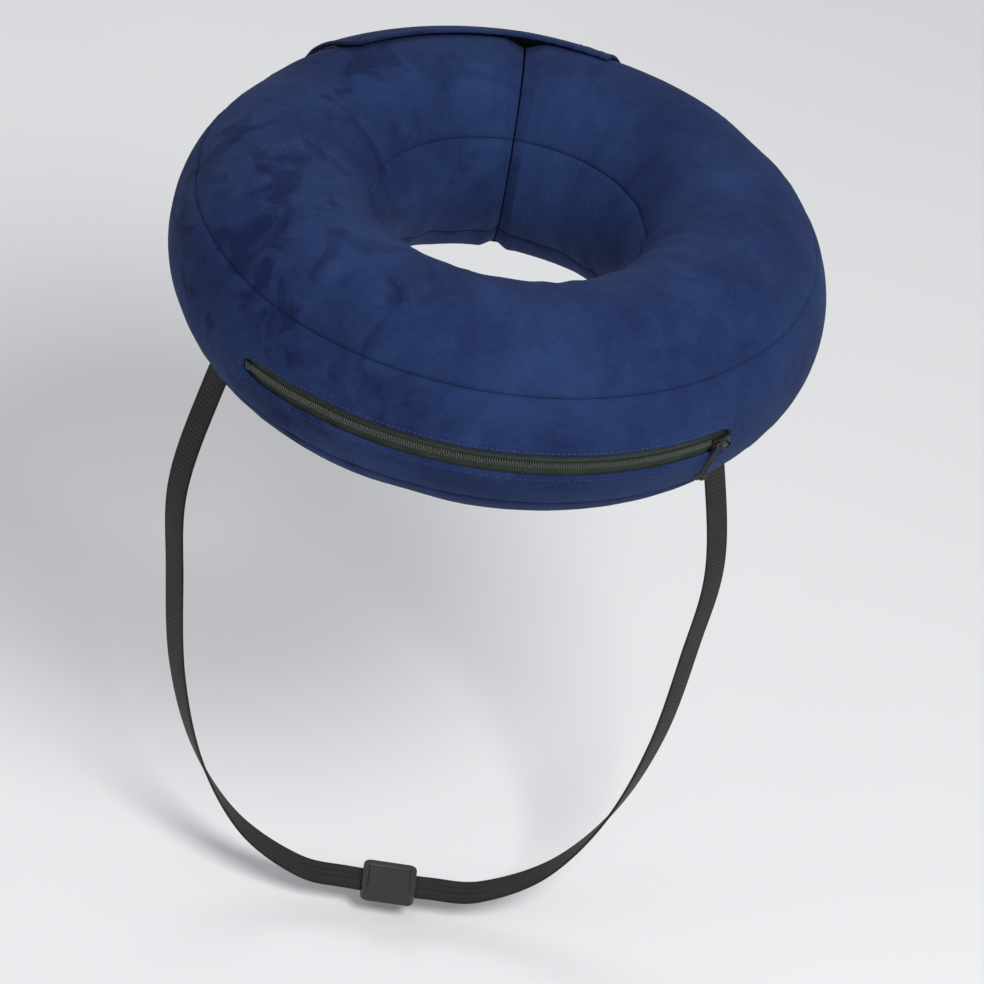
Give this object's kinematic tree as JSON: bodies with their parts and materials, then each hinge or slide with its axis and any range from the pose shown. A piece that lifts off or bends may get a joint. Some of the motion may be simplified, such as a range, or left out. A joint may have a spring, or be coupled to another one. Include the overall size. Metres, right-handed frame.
{
  "type": "inflatable recovery collar",
  "caption": "C-shaped inflated ring collar in a sewn navy fabric cover with a zipped side, rear closure tabs and a black webbing strap loop, worn round a pet's neck.",
  "frame": {"origin": "centre of the neck hole, midway between the ring's upper and lower faces, where the collar sits on the neck", "axes": "+Z along the ring's axis towards the wearer's head, -Y towards the zipped front, +Y towards the split and its closure tabs"},
  "size_m": [0.3797, 0.3828, 0.5102],
  "materials": {
    "navy_fabric": "brushed navy microfibre with a short nap",
    "loop_pile": "dark loop pile of a hook and loop fastener",
    "zipper_tape": "woven olive-charcoal zipper tape",
    "zipper_teeth": "olive-charcoal nylon coil",
    "slider_black": "black enamel",
    "black_webbing": "woven black webbing",
    "black_plastic": "moulded black plastic"
  },
  "bodies": {
    "root": {"top_panel": "navy_fabric", "side_panel": "navy_fabric", "bottom_panel": "navy_fabric", "neck_sleeve": "navy_fabric", "end_wall_left": "navy_fabric", "end_wall_right": "navy_fabric", "closure_tab_upper": "navy_fabric", "closure_tab_lower": "navy_fabric", "loop_patch_upper": "loop_pile", "loop_patch_lower": "loop_pile", "zipper_tape_upper": "zipper_tape", "zipper_tape_lower": "zipper_tape", "zipper_coil": "zipper_teeth", "zipper_stop": "slider_black", "zipper_slider": "slider_black", "zipper_pull": "slider_black", "security_strap": "black_webbing", "strap_keeper_left": "black_webbing", "strap_keeper_right": "black_webbing", "strap_buckle": "black_plastic"}
  },
  "joints": []
}
